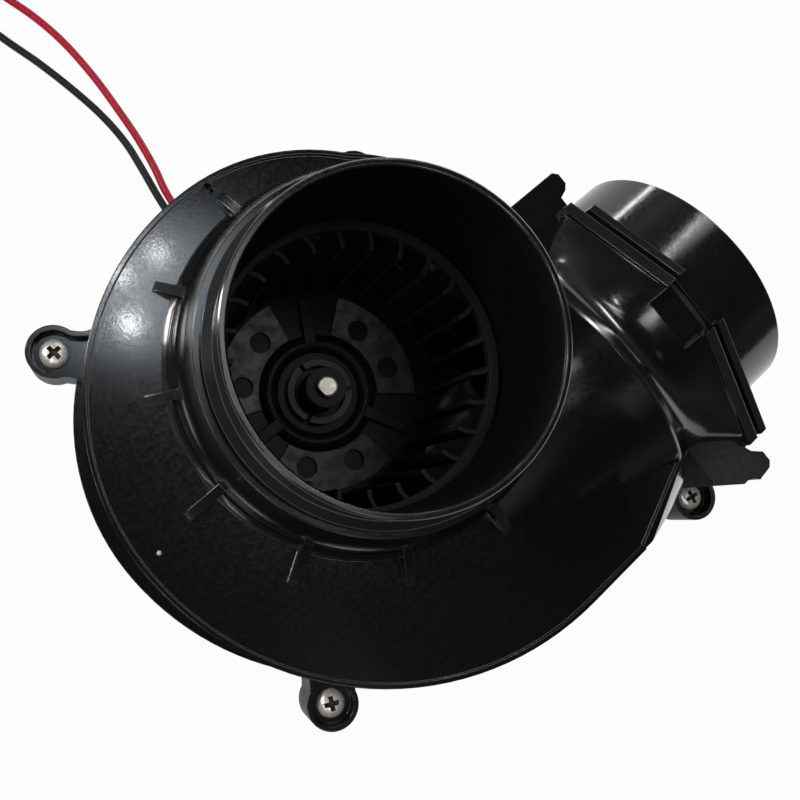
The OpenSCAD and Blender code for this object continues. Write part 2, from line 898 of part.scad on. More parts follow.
// One end turn of the winding: a rounded ring that lies against the core
module end_turn() {
    turn_in = shaft_r + 4.6;
    turn_out = core_r - 3;
    soft = 1.4;
    rotate_extrude()
        polygon([
            [turn_in, 0], [turn_out, 0], [turn_out, winding_h - soft], [turn_out - soft, winding_h],
            [turn_in + soft, winding_h], [turn_in, winding_h - soft]
        ]);
}

module armature_windings() color([0.72, 0.40, 0.20]) {
    translate([0, 0, core_low + core_h])
        end_turn();
    translate([0, 0, core_low])
        mirror([0, 0, 1])
            end_turn();
}

module commutator() color([0.80, 0.50, 0.28]) {
    bars = 10;
    slit = 0.6;
    difference() {
        translate([0, 0, comm_low])
            cylinder(r = comm_r, h = comm_h);
        translate([0, 0, comm_low - cut])
            cylinder(r = shaft_r + fit_gap, h = comm_h + 2 * cut);
        for (i = [0 : bars - 1])
            rotate(i * 360 / bars)
                translate([comm_r - 1, -slit / 2, comm_low - cut])
                    cube([2, slit, comm_h - 1]);
    }
}

module thrust_pad() color("white") {
    translate([0, 0, cap_floor])
        cylinder(r = shaft_r, h = shaft_low - cap_floor - fit_gap);
}

// Places its children at the three screws that hold the motor to the rear cover
module at_motor_screws(z) {
    for (i = [0:2])
        rotate(90 + i * 120)
            translate([motor_screw_ring, 0, z]) children();
}

module motor_can() color([0.62, 0.62, 0.64]) {
    nose_top = back_z + rear_wall;
    bush_seat = bush_r + fit_gap / 2;
    difference() {
        union() {
            translate([0, 0, cap_h])
                cylinder(r = motor_r, h = can_top - cap_h);
            translate([0, 0, can_top - cut])
                cylinder(r = nose_r, h = nose_top - can_top + cut);
        }
        translate([0, 0, cap_h - cut])
            cylinder(r = can_in, h = can_top - can_wall - cap_h + cut);
        translate([0, 0, can_top - can_wall - cut])
            cylinder(r = bush_seat, h = nose_top - can_top + can_wall + 2 * cut);
        at_motor_screws(can_top - can_wall - cut)
            cylinder(r = motor_screw_d / 2 + fit_gap, h = can_wall + 2 * cut);
    }
}

module motor_end_cap() color(plastic) {
    boss_top = cap_h - 2.4;
    seat_r = bush_r + fit_gap / 2;
    lip = 2;
    slot_w = 9;
    difference() {
        union() {
            difference() {
                union() {
                    cylinder(r = motor_r, h = cap_h);
                    cylinder(r = can_in - fit_gap, h = cap_h + lip);
                }
                translate([0, 0, cap_wall])
                    cylinder(r = can_in - cap_wall, h = cap_h + lip);
            }
            cylinder(r = bush_r + 2, h = boss_top);
        }
        translate([0, 0, cap_floor])
            cylinder(r = seat_r, h = boss_top);
        translate([(lead_x[0] + lead_x[1] - slot_w) / 2, can_in / 2, cap_wall])
            cube([slot_w, motor_r, cap_h]);
    }
}

// Plain sleeve bearing round the shaft
module sleeve_bush(low, h) {
    difference() {
        translate([0, 0, low])
            cylinder(r = bush_r, h = h);
        translate([0, 0, low - cut])
            cylinder(r = shaft_r + running_gap, h = h + 2 * cut);
    }
}

module front_bush() color([0.72, 0.55, 0.30]) {
    sleeve_bush(can_top - can_wall, back_z + rear_wall - can_top + can_wall - 0.4);
}

module rear_bush() color([0.72, 0.55, 0.30]) {
    sleeve_bush(cap_floor, cap_h - 2.4 - cap_floor);
}

module magnets() color([0.20, 0.20, 0.22]) {
    magnet_low = cap_h + 3;
    magnet_high = can_top - can_wall - 1;
    half = magnet_angle / 2;
    for (a = [0, 180])
        rotate(a)
            translate([0, 0, magnet_low])
                linear_extrude(magnet_high - magnet_low)
                    intersection() {
                        difference() {
                            circle(r = can_in - fit_gap);
                            circle(r = magnet_in);
                        }
                        polygon([
                            [0, 0], far * [cos(half), -sin(half)], [far, -far], [far, far],
                            far * [cos(half), sin(half)]
                        ]);
                    }
}

// Spring clips that press the two magnets apart against the can
module magnet_clips() color(steel) {
    clip_t = 1;
    clip_end = 4;
    clip_low = cap_h + clip_end;
    clip_high = can_top - can_wall - clip_end;
    open = 90 - magnet_angle / 2;
    for (a = [90, 270])
        rotate(a)
            translate([0, 0, clip_low])
                linear_extrude(clip_high - clip_low)
                    intersection() {
                        difference() {
                            circle(r = can_in - fit_gap);
                            circle(r = can_in - fit_gap - clip_t);
                        }
                        polygon([[0, 0], far * [cos(open), -sin(open)], far * [cos(open), sin(open)]]);
                    }
}

// Carbon brushes on the commutator, one at each side
brush_l = 6;
brush_w = 4;
brush_h = 4;
brush_low = comm_low + 0.6;

module brushes() color([0.15, 0.15, 0.15]) {
    for (side = [0, 180])
        rotate(side)
            difference() {
                translate([comm_r - 1, -brush_w / 2, brush_low])
                    cube([brush_l + 1, brush_w, brush_h]);
                translate([0, 0, brush_low - cut])
                    cylinder(r = comm_r + 2 * running_gap, h = brush_h + 2 * cut);
            }
}

// Leaf springs that carry the brushes, their feet standing on the floor of the end cap
module brush_springs() color([0.75, 0.60, 0.30]) {
    leaf_t = 0.6;
    leaf_l = 8;
    for (side = [0, 180])
        rotate(side)
            translate([comm_r + brush_l, -brush_w / 2, cap_wall]) {
                cube([leaf_t, brush_w, brush_low + brush_h - cap_wall]);
                cube([leaf_l, brush_w, leaf_t]);
            }
}

module motor_gasket() color(rubber) {
    translate([0, 0, can_top])
        linear_extrude(back_z - can_top)
            difference() {
                circle(r = motor_r - 1);
                circle(r = nose_r + cup_gap);
                for (i = [0:2])
                    rotate(90 + i * 120)
                        translate([motor_screw_ring, 0])
                            circle(r = motor_screw_d / 2 + 0.2, $fn = 32);
            }
}

module motor_screws() color(steel) {
    at_motor_screws(back_z + rear_wall)
        pan_screw(motor_screw_d, rear_wall + motor_bite, motor_head_d, motor_head_h);
}

module lead_grommet() color(rubber) {
    grommet_w = 8.6;
    grommet_in = can_in - 4.6;
    middle = (lead_x[0] + lead_x[1]) / 2;
    difference() {
        translate([middle - grommet_w / 2, grommet_in, cap_wall + fit_gap])
            cube([grommet_w, lead_y - grommet_in, cap_h - cap_wall - 2 * fit_gap]);
        translate([0, 0, -cut])
            cylinder(r = can_in - cap_wall - 1, h = cap_h + 2 * cut);
    }
}

// Tube swept along a route, with flat ends
function along(p, i) =
    let(
        a = p[max(i - 1, 0)],
        b = p[min(i + 1, len(p) - 1)]
    )
    (b - a) / norm(b - a);

function ring_of(p, i, r, sides) =
    let(
        t = along(p, i),
        s0 = cross([0, 0, 1], t),
        s = s0 / norm(s0),
        u = cross(t, s)
    )
    [for (k = [0 : sides - 1]) p[i] + r * (cos(360 * k / sides) * s + sin(360 * k / sides) * u)];

module lead_tube(route) {
    sides = 8;
    n = len(route);
    rings = [for (i = [0 : n - 1]) each ring_of(route, i, lead_r, sides)];
    walls = [
        for (i = [0 : n - 2], k = [0 : sides - 1])
            let(a = i * sides + k, b = i * sides + (k + 1) % sides)
            each [[a, a + sides, b], [b, a + sides, b + sides]]
    ];
    near_end = [[for (k = [0 : sides - 1]) k]];
    far_end = [[for (k = [sides - 1 : -1 : 0]) (n - 1) * sides + k]];
    polyhedron(points = rings, faces = concat(walls, near_end, far_end));
}

module red_lead() color("red") {
    lead_tube(red_route);
}

module black_lead() color([0.06, 0.06, 0.06]) {
    lead_tube(black_route);
}

// Outer shape of the coiled length of both leads
module lead_coil() color([0.35, 0.06, 0.06]) {
    translate([coil_c.x, coil_c.y, coil_low])
        rotate_extrude()
            translate([coil_in, 0])
                square([coil_out - coil_in, coil_top - coil_low]);
}

module lead_tie() color(rubber) {
    tie_t = 0.4;
    tie_w = 3;
    tie_turn = 275;
    slack = 0.1;
    section = [coil_out - coil_in + 2 * slack, coil_top - coil_low + 2 * slack];
    translate([coil_c.x, coil_c.y, 0])
        rotate([90, 0, tie_turn])
            translate([coil_in - slack, coil_low - slack, -tie_w / 2])
                linear_extrude(tie_w)
                    difference() {
                        translate([-tie_t, -tie_t])
                            square(section + 2 * tie_t * [1, 1]);
                        square(section);
                    }
}

// Tinned ends of the two leads, lying on the coil
module lead_tips() color([0.75, 0.75, 0.74]) {
    tip_r = 0.75;
    tip_l = 8;
    for (end = [[234, 13.2], [72, 15.9]])
        translate([coil_c.x, coil_c.y, coil_top + tip_r + fit_gap])
            rotate(end[0])
                translate([end[1], 0, 0])
                    rotate([-90, 0, 0])
                        cylinder(r = tip_r, h = tip_l, $fn = 24);
}

front_scroll();
rear_scroll();
outlet_pipe();
outlet_gasket();
housing_screws();
impeller();
hub_clip();
motor_shaft();
armature_core();
armature_windings();
commutator();
thrust_pad();
motor_can();
motor_end_cap();
front_bush();
rear_bush();
magnets();
magnet_clips();
brushes();
brush_springs();
motor_gasket();
motor_screws();
lead_grommet();
red_lead();
black_lead();
lead_coil();
lead_tie();
lead_tips();
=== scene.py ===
import json
import math
import bpy
import bmesh
from mathutils import Matrix, Vector


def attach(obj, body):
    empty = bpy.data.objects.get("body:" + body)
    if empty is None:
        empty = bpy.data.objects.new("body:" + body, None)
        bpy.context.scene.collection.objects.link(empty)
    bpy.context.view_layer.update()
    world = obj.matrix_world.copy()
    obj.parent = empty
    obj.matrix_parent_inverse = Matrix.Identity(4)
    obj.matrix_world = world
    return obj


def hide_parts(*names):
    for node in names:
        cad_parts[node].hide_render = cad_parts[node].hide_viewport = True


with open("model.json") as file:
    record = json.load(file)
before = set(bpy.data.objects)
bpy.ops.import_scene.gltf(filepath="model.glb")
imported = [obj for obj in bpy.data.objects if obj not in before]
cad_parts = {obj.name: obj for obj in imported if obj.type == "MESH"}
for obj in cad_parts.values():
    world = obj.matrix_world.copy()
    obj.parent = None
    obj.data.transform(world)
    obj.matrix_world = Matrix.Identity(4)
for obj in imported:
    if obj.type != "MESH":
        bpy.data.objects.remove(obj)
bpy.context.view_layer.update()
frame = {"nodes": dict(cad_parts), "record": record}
nodes = frame["nodes"]
scene = bpy.context.scene
mm = 0.001
joinReach = 2e-6  # vertices closer than this are one, in metres
bumpDepth = 0.0002  # height of full bump strength, in metres
print("frame loaded:", len(nodes), "nodes")

# camera at the photo's angle, found from the two necks
shot = {
    "spot": (-65.34, 6.97, 338.59),
    "look": (0.2738, -0.0810, -0.9584),
    "up": (0.6305, 0.7676, 0.1153),
    "lens": 45.0,
    "sensor": 36.0,
}


def placeCamera():
    look = Vector(shot["look"]).normalized()
    right = look.cross(Vector(shot["up"])).normalized()
    up = right.cross(look)
    turn = Matrix((right, up, -look)).transposed().to_4x4()
    data = bpy.data.cameras.new("mainCam")
    data.lens = shot["lens"]
    data.sensor_width = shot["sensor"]
    data.clip_start = 0.01
    data.clip_end = 20
    data.dof.use_dof = False
    cam = bpy.data.objects.new("mainCam", data)
    cam.matrix_world = Matrix.Translation(Vector(shot["spot"]) * mm) @ turn
    scene.collection.objects.link(cam)
    scene.camera = cam


placeCamera()
print("camera placed")


# small helpers for shader trees
def newMat(name, color, rough, metal=0.0, spec=0.5):
    mat = bpy.data.materials.new(name)
    mat.use_nodes = True
    tree = mat.node_tree
    bsdf = tree.nodes["Principled BSDF"]
    bsdf.inputs["Base Color"].default_value = (*color, 1)
    bsdf.inputs["Roughness"].default_value = rough
    bsdf.inputs["Metallic"].default_value = metal
    bsdf.inputs["Specular IOR Level"].default_value = spec
    return mat, tree, bsdf


def addNode(tree, kind, **values):
    node = tree.nodes.new(kind)
    for key, value in values.items():
        if key in node.inputs.keys():
            node.inputs[key].default_value = value
        else:
            setattr(node, key, value)
    return node


def objectCoords(tree):
    return addNode(tree, "ShaderNodeTexCoord").outputs["Object"]


def noiseOn(tree, scale, detail=3.0, rough=0.55):
    node = addNode(tree, "ShaderNodeTexNoise", Scale=scale, Detail=detail, Roughness=rough)
    tree.links.new(objectCoords(tree), node.inputs["Vector"])
    return node.outputs["Fac"]


def mapRange(tree, value, low, high, outLow, outHigh):
    node = addNode(tree, "ShaderNodeMapRange")
    node.inputs["From Min"].default_value = low
    node.inputs["From Max"].default_value = high
    node.inputs["To Min"].default_value = outLow
    node.inputs["To Max"].default_value = outHigh
    tree.links.new(value, node.inputs["Value"])
    return node.outputs["Result"]


def bumpFrom(tree, bsdf, height, strength, edge):
    node = addNode(tree, "ShaderNodeBump", Strength=strength, Distance=bumpDepth)
    tree.links.new(height, node.inputs["Height"])
    soft = addNode(tree, "ShaderNodeBevel", samples=6)
    soft.inputs["Radius"].default_value = edge
    tree.links.new(soft.outputs["Normal"], node.inputs["Normal"])
    tree.links.new(node.outputs["Normal"], bsdf.inputs["Normal"])
    return node


def product(tree, value, other):
    node = addNode(tree, "ShaderNodeMath", operation="MULTIPLY")
    tree.links.new(value, node.inputs[0])
    if isinstance(other, float):
        node.inputs[1].default_value = other
    else:
        tree.links.new(other, node.inputs[1])
    return node.outputs["Value"]


def blend(tree, share, colorA, colorB):
    node = addNode(tree, "ShaderNodeMix", data_type="RGBA")
    node.inputs["A"].default_value = (*colorA, 1)
    node.inputs["B"].default_value = (*colorB, 1)
    tree.links.new(share, node.inputs["Factor"])
    return node


# plain finish: roughness and tone wander a little
def speckled(name, color, rough, spread, scale, bump, metal=0.0, spec=0.5):
    tone, edge = 0.15, 0.0003
    mat, tree, bsdf = newMat(name, color, rough, metal, spec)
    cloud = noiseOn(tree, scale)
    tree.links.new(mapRange(tree, cloud, 0.3, 0.7, rough - spread, rough + spread), bsdf.inputs["Roughness"])
    darker = [c * (1 - tone) for c in color]
    lighter = [min(1, c * (1 + tone)) for c in color]
    mixed = blend(tree, noiseOn(tree, scale * 0.37), darker, lighter)
    tree.links.new(mixed.outputs["Result"], bsdf.inputs["Base Color"])
    bumpFrom(tree, bsdf, noiseOn(tree, scale * 3), bump, edge)
    return mat


# moulded housing plastic: black with a thin glossy skin over a hazy body, fine grain and softened edges
def housingPlastic(look):
    mat, tree, bsdf = newMat(look["name"], look["color"], look["rough"][0], spec=0.45)
    grain = noiseOn(tree, 850, 5.0, 0.7)
    tree.links.new(mapRange(tree, grain, 0.40, 0.60, *look["rough"]), bsdf.inputs["Roughness"])
    film = mapRange(tree, noiseOn(tree, 900, 4.0, 0.65), 0.35, 0.65, 0, 1)
    tinted = blend(tree, film, [c * 0.88 for c in look["color"]], [c * 1.15 for c in look["color"]])
    tree.links.new(tinted.outputs["Result"], bsdf.inputs["Base Color"])
    bsdf.inputs["Coat Weight"].default_value = look["skin"]
    bsdf.inputs["Coat IOR"].default_value = 1.5
    sheen = noiseOn(tree, 260, 3.0, 0.6)
    tree.links.new(mapRange(tree, sheen, 0.3, 0.7, *look["skinRough"]), bsdf.inputs["Coat Roughness"])
    wide = noiseOn(tree, 130, 2.0, 0.5)
    peel = noiseOn(tree, 1500, 3.0, 0.55)
    both = addNode(tree, "ShaderNodeMath", operation="MULTIPLY_ADD")
    both.inputs[1].default_value = look["wave"]
    tree.links.new(wide, both.inputs[0])
    tree.links.new(peel, both.inputs[2])
    bump = bumpFrom(tree, bsdf, both.outputs["Value"], look["peel"], look["edge"])
    tree.links.new(bump.outputs["Normal"], bsdf.inputs["Coat Normal"])
    return mat


# impeller: dark moulding, its raised sectors dusted to a light grey; the dust is painted lighter on one side
# of the hub and fades on the far side, as painted light and painted shade
def impellerPlastic():
    look = {
        "dark": (0.009, 0.009, 0.009), "blade": (0.017, 0.017, 0.017), "dust": (0.40, 0.39, 0.355),
        "rough": (0.36, 0.62), "spec": 0.09, "peel": 0.12, "edge": 0.0004,
        "sectorIn": (0.0176, 0.0180), "sectorOut": (0.0294, 0.0300),  # radii, where the dust sets in and ends
        "sectorLow": (0.0466, 0.0470), "sectorTop": (0.0477, 0.0480), "bladeRise": (0.050, 0.064),
        "paintedLightWay": (-0.7525, 0.6587, 0), "paintedLightSpan": (-0.022, 0.030),  # painted light: the sectors are painted lighter that way, with painted shade on the far side
    }
    mat, tree, bsdf = newMat("impellerPlastic", look["dark"], look["rough"][0], spec=look["spec"])
    parts = addNode(tree, "ShaderNodeSeparateXYZ")
    tree.links.new(objectCoords(tree), parts.inputs["Vector"])
    flat = addNode(tree, "ShaderNodeCombineXYZ")
    tree.links.new(parts.outputs["X"], flat.inputs["X"])
    tree.links.new(parts.outputs["Y"], flat.inputs["Y"])
    away = addNode(tree, "ShaderNodeVectorMath", operation="LENGTH")
    tree.links.new(flat.outputs["Vector"], away.inputs[0])
    radius = away.outputs["Value"]
    high = parts.outputs["Z"]
    side = addNode(tree, "ShaderNodeVectorMath", operation="DOT_PRODUCT")
    side.inputs[1].default_value = look["paintedLightWay"]
    tree.links.new(flat.outputs["Vector"], side.inputs[0])
    dustAndLightMask = mapRange(tree, radius, *look["sectorIn"], 0, 1)
    for mask in (
        mapRange(tree, radius, *look["sectorOut"], 1, 0),
        mapRange(tree, high, *look["sectorLow"], 0, 1),
        mapRange(tree, high, *look["sectorTop"], 1, 0),
        mapRange(tree, noiseOn(tree, 230, 4.0, 0.6), 0.32, 0.62, 0.2, 1),
        # painted light and shade: the sectors are lighter on one side of the hub and darker on the other
        mapRange(tree, side.outputs["Value"], *look["paintedLightSpan"], 0.1, 1),
    ):
        dustAndLightMask = product(tree, dustAndLightMask, mask)
    clean = blend(tree, mapRange(tree, high, *look["bladeRise"], 0, 1), look["dark"], look["blade"])
    # dust colour together with the painted light and painted shade of the sectors
    dustAndLightTone = blend(tree, dustAndLightMask, look["dark"], look["dust"])
    tree.links.new(clean.outputs["Result"], dustAndLightTone.inputs["A"])
    tree.links.new(dustAndLightTone.outputs["Result"], bsdf.inputs["Base Color"])
    tree.links.new(mapRange(tree, dustAndLightMask, 0, 1, *look["rough"]), bsdf.inputs["Roughness"])
    bumpFrom(tree, bsdf, noiseOn(tree, 900), look["peel"], look["edge"])
    return mat


# one finish for each slot of the record; the pipe is moulded from a duller black
scrollLook = {"name": "blackPlastic", "color": (0.0046, 0.0046, 0.0049), "rough": (0.115, 0.18),
              "skin": 0.40, "skinRough": (0.03, 0.06), "wave": 0.3, "peel": 0.033, "edge": 0.0004}
pipeLook = {"name": "pipeBlack", "color": (0.0060, 0.0060, 0.0065), "rough": (0.10, 0.20),
            "skin": 0.08, "skinRough": (0.06, 0.10), "wave": 0.4, "peel": 0.05, "edge": 0.0004}
paint = {
    "black_plastic": housingPlastic(scrollLook),
    "impeller_plastic": impellerPlastic(),
    "clip_plastic": speckled("clipPlastic", (0.12, 0.12, 0.115), 0.5, 0.06, 400, 0.05, spec=0.1),
    "cap_plastic": speckled("capPlastic", (0.02, 0.02, 0.02), 0.45, 0.06, 400, 0.05),
    "seal_rubber": speckled("sealRubber", (0.012, 0.012, 0.012), 0.7, 0.08, 600, 0.1),
    "zinc_steel": speckled("zincSteel", (0.86, 0.83, 0.76), 0.30, 0.07, 900, 0.05, 0.5),
    "shaft_steel": speckled("shaftSteel", (0.84, 0.80, 0.71), 0.42, 0.06, 900, 0.05, 0.6),
    "core_steel": speckled("coreSteel", (0.25, 0.25, 0.26), 0.4, 0.06, 900, 0.02, 1.0),
    "copper_wire": speckled("copperWire", (0.45, 0.16, 0.06), 0.35, 0.06, 900, 0.2, 0.6),
    "copper_bar": speckled("copperBar", (0.72, 0.35, 0.20), 0.3, 0.06, 900, 0.02, 1.0),
    "bronze": speckled("bronze", (0.50, 0.33, 0.15), 0.4, 0.06, 900, 0.1, 1.0),
    "spring_bronze": speckled("springBronze", (0.60, 0.42, 0.18), 0.3, 0.06, 900, 0.02, 1.0),
    "ferrite": speckled("ferrite", (0.04, 0.04, 0.045), 0.6, 0.06, 700, 0.1),
    "carbon": speckled("carbon", (0.03, 0.03, 0.03), 0.5, 0.06, 900, 0.1),
    "nylon": speckled("nylon", (0.75, 0.75, 0.70), 0.4, 0.06, 500, 0.05),
    "red_insulation": speckled("redInsulation", (0.42, 0.004, 0.022), 0.34, 0.04, 500, 0.05, spec=0.3),
    "black_insulation": speckled("blackInsulation", (0.008, 0.008, 0.008), 0.36, 0.04, 500, 0.05, spec=0.25),
    "tie_plastic": speckled("tiePlastic", (0.02, 0.02, 0.02), 0.4, 0.05, 500, 0.05),
    "tinned_copper": speckled("tinnedCopper", (0.72, 0.71, 0.68), 0.3, 0.06, 900, 0.1, 1.0),
}
slotOf = {s["node"]: s["material_slot"] for s in frame["record"]["subparts"]}
pipeBlack = housingPlastic(pipeLook)
for name, node in nodes.items():
    node.data.materials.clear()
    node.data.materials.append(pipeBlack if name == "outlet_pipe" else paint[slotOf[name]])

# matt zones of the housing, its gate mark with a painted highlight, and the screw recesses
mattPlastic = speckled("mattPlastic", (0.004, 0.004, 0.004), 0.6, 0.06, 500, 0.1, spec=0.04)
innerPlastic = speckled("innerPlastic", (0.0056, 0.0056, 0.0056), 0.5, 0.06, 500, 0.08, spec=0.12)
sidePlastic = speckled("sidePlastic", (0.0046, 0.0046, 0.0049), 0.45, 0.05, 500, 0.08, spec=0.12)
# painted highlight: the gate mark is coloured light grey so that it shows as a bright dot
gatePaintedHighlight = speckled("gatePaintedHighlight", (0.50, 0.50, 0.50), 0.35, 0.04, 500, 0.02)
recessShade = speckled("recessShade", (0.055, 0.045, 0.038), 0.5, 0.06, 900, 0.05, 0.2)
print("materials made:", len(paint))


# small helpers for meshes
def shadeByAngle(mesh, degrees):
    limit = math.radians(degrees)
    bm = bmesh.new()
    bm.from_mesh(mesh)
    for face in bm.faces:
        face.smooth = True
    for edge in bm.edges:
        edge.smooth = len(edge.link_faces) == 2 and edge.calc_face_angle(0) < limit
    bm.to_mesh(mesh)
    bm.free()


def latheInto(bm, profile, steps, shape=None):
    rings = []
    for r, z in profile:
        if r == 0:
            rings.append([bm.verts.new((0, 0, z * mm))])
            continue
        ring = []
        for k in range(steps):
            a = 2 * math.pi * k / steps
            x, y = r * math.cos(a), r * math.sin(a)
            if shape:
                x, y = shape(x, y, len(rings))
            ring.append(bm.verts.new((x * mm, y * mm, z * mm)))
        rings.append(ring)
    for low, high in zip(rings, rings[1:]):
        for k in range(steps):
            j = (k + 1) % steps
            if len(low) == 1:
                bm.faces.new((low[0], high[k], high[j]))
            elif len(high) == 1:
                bm.faces.new((low[k], high[0], low[j]))
            else:
                bm.faces.new((low[k], high[k], high[j], low[j]))


def nodeSpots(node, reach):
    found = []
    for v in node.data.vertices:
        p = v.co / mm
        for spot in found:
            if abs(p.x - spot["first"].x) < reach and abs(p.y - spot["first"].y) < reach:
                spot["low"] = Vector(map(min, spot["low"], p))
                spot["high"] = Vector(map(max, spot["high"], p))
                break
        else:
            found.append({"first": p.copy(), "low": p.copy(), "high": p.copy()})
    return found


# one tapered bar of the cross recess
def crossBar(bm, look, turn):
    rot = Matrix.Rotation(math.radians(turn), 3, "Z")
    foot = (look["headH"] - look["deep"], look["cross"] * 0.42, look["slot"] * 0.55)
    mouth = (look["headH"] + 0.5, look["cross"] * 1.08, look["slot"] * 1.12)
    corners = []
    for z, l, w in (foot, mouth):
        for x, y in ((-1, -1), (1, -1), (1, 1), (-1, 1)):
            corners.append(bm.verts.new(rot @ Vector((x * l / 2 * mm, y * w / 2 * mm, z * mm))))
    for quad in ((3, 2, 1, 0), (4, 5, 6, 7), (0, 1, 5, 4), (1, 2, 6, 5), (2, 3, 7, 6), (3, 0, 4, 7)):
        bm.faces.new([corners[i] for i in quad])
    bmesh.ops.recalc_face_normals(bm, faces=bm.faces)


def screwMesh(name, look):
    bm = bmesh.new()
    r, h, d, l = look["headR"], look["headH"], look["shankR"], look["long"]
    latheInto(bm, [
        (0, -l), (d * 0.6, -l), (d, -l + d * 0.6), (d, 0), (r * 0.96, 0), (r, h * 0.06), (r, h * 0.30),
        (r * 0.97, h * 0.48), (r * 0.88, h * 0.68), (r * 0.72, h * 0.84), (r * 0.5, h * 0.94),
        (r * 0.25, h * 0.99), (0, h),
    ], 48)
    bmesh.ops.recalc_face_normals(bm, faces=bm.faces)
    mesh = bpy.data.meshes.new(name)
    bm.to_mesh(mesh)
    bm.free()
    mesh.materials.append(paint["zinc_steel"])
    mesh.materials.append(recessShade)
    body = bpy.data.objects.new(name, mesh)
    scene.collection.objects.link(body)
    for turn in (0, 90):
        bm = bmesh.new()
        crossBar(bm, look, turn)
        cutMesh = bpy.data.meshes.new(name + "Cut")
        bm.to_mesh(cutMesh)
        bm.free()
        cutMesh.materials.append(paint["zinc_steel"])
        cutMesh.materials.append(recessShade)
        for face in cutMesh.polygons:
            face.material_index = 1
        cutter = bpy.data.objects.new(name + "Cut", cutMesh)
        scene.collection.objects.link(cutter)
        carve = body.modifiers.new("carve", "BOOLEAN")
        carve.operation = "DIFFERENCE"
        carve.solver = "EXACT"
        carve.object = cutter
        done = bpy.data.meshes.new_from_object(body.evaluated_get(bpy.context.evaluated_depsgraph_get()))
        body.modifiers.clear()
        body.data = done
        bpy.data.objects.remove(cutter)
    result = body.data
    bpy.data.objects.remove(body)
    return result


def placeScrews(name, nodeName, look, turns):
    single = screwMesh(name + "One", look)
    bm = bmesh.new()
    for spot, turn in zip(nodeSpots(nodes[nodeName], 12), turns):
        middle = (spot["low"] + spot["high"]) / 2
        seat = spot["high"].z - look["headH"]
        piece = bmesh.new()
        piece.from_mesh(single)
        place = Matrix.Translation(Vector((middle.x, middle.y, seat)) * mm)
        piece.transform(place @ Matrix.Rotation(math.radians(turn), 4, "Z"))
        extra = bpy.data.meshes.new("screwPart")
        piece.to_mesh(extra)
        piece.free()
        bm.from_mesh(extra)
        bpy.data.meshes.remove(extra)
    bmesh.ops.remove_doubles(bm, verts=bm.verts, dist=joinReach)
    mesh = bpy.data.meshes.new(name)
    bm.to_mesh(mesh)
    bm.free()
    shadeByAngle(mesh, 35)
    obj = bpy.data.objects.new(name, mesh)
    scene.collection.objects.link(obj)
    mesh.materials.append(paint["zinc_steel"])
    mesh.materials.append(recessShade)
    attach(obj, "housing")
    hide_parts(nodeName)


# housing shells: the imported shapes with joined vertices, so that the lofted throat shades smoothly
frontLook = {
    "soft": 32,  # edges that turn less than this many degrees shade smooth
    "steep": 0.4,  # the normal of a steep face points up or down by less than this
    "lugTop": 64, "sideTop": 104,  # steep faces are matt up to lugTop, and the scroll's walls up to sideTop
    "ductX": 48, "nearY": -80,  # above lugTop the duct beyond ductX stays glossy, apart from its near wall
    "hookBack": 59.0, "boreR": 37.5,  # plane of the hooks' backs; the neck's bore lies within boreR
}
rearLook = {**frontLook, "hookBack": None, "boreR": 0}


def dressShell(nodeName, name, look):
    mesh = nodes[nodeName].data.copy()
    mesh.name = name
    bm = bmesh.new()
    bm.from_mesh(mesh)
    bmesh.ops.remove_doubles(bm, verts=bm.verts, dist=joinReach)
    bm.to_mesh(mesh)
    bm.free()
    if "custom_normal" in mesh.attributes:
        mesh.attributes.remove(mesh.attributes["custom_normal"])
    shadeByAngle(mesh, look["soft"])
    for zone in (mattPlastic, innerPlastic, sidePlastic):
        mesh.materials.append(zone)
    for face in mesh.polygons:
        x, y, z = face.center / mm
        onScroll = z < look["sideTop"] and (x < look["ductX"] or y < look["nearY"])
        if abs(face.normal.z) < look["steep"] and (z < look["lugTop"] or onScroll):
            face.material_index = 3
        if look["hookBack"] and face.normal.x < -0.99 and abs(x - look["hookBack"]) < 0.01:
            face.material_index = 1
        away = Vector((x, y, 0))
        if 0 < away.length < look["boreR"] and away.normalized().dot(face.normal) < -0.97:
            face.material_index = 2
    shell = bpy.data.objects.new(name, mesh)
    scene.collection.objects.link(shell)
    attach(shell, "housing")
    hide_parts(nodeName)


dressShell("front_scroll", "frontShell", frontLook)
dressShell("rear_scroll", "rearShell", rearLook)
print("shells dressed")

# pan-head screws, in millimetres
housingScrew = {"headR": 4.0, "headH": 2.6, "shankR": 2.0, "long": 12, "cross": 4.8, "slot": 1.3, "deep": 1.8}
motorScrew = {"headR": 2.8, "headH": 1.9, "shankR": 1.5, "long": 6.6, "cross": 3.2, "slot": 0.8, "deep": 1.2}
placeScrews("housingScrews", "housing_screws", housingScrew, (6, 62, 24, 78))
placeScrews("motorScrews", "motor_screws", motorScrew, (10, 50, 80))
print("screws made")


# small gate mark left by the moulding on the face, painted light grey as a painted highlight
def makeGateMark():
    look = {"spot": (-64.8, -3.2, 105.95), "r": 0.6, "h": 0.4, "steps": 24}
    bm = bmesh.new()
    r, h = look["r"], look["h"]
    dome = [(0, 0), (r, 0), (r * 0.92, h * 0.45), (r * 0.7, h * 0.8), (r * 0.35, h * 0.96), (0, h)]
    latheInto(bm, dome, look["steps"])
    bmesh.ops.recalc_face_normals(bm, faces=bm.faces)
    mesh = bpy.data.meshes.new("gateMark")
    bm.to_mesh(mesh)
    bm.free()
    shadeByAngle(mesh, 50)
    mark = bpy.data.objects.new("gateMark", mesh)
    mark.location = Vector(look["spot"]) * mm
    scene.collection.objects.link(mark)
    mesh.materials.append(gatePaintedHighlight)
    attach(mark, "housing")


makeGateMark()
print("gate mark made")


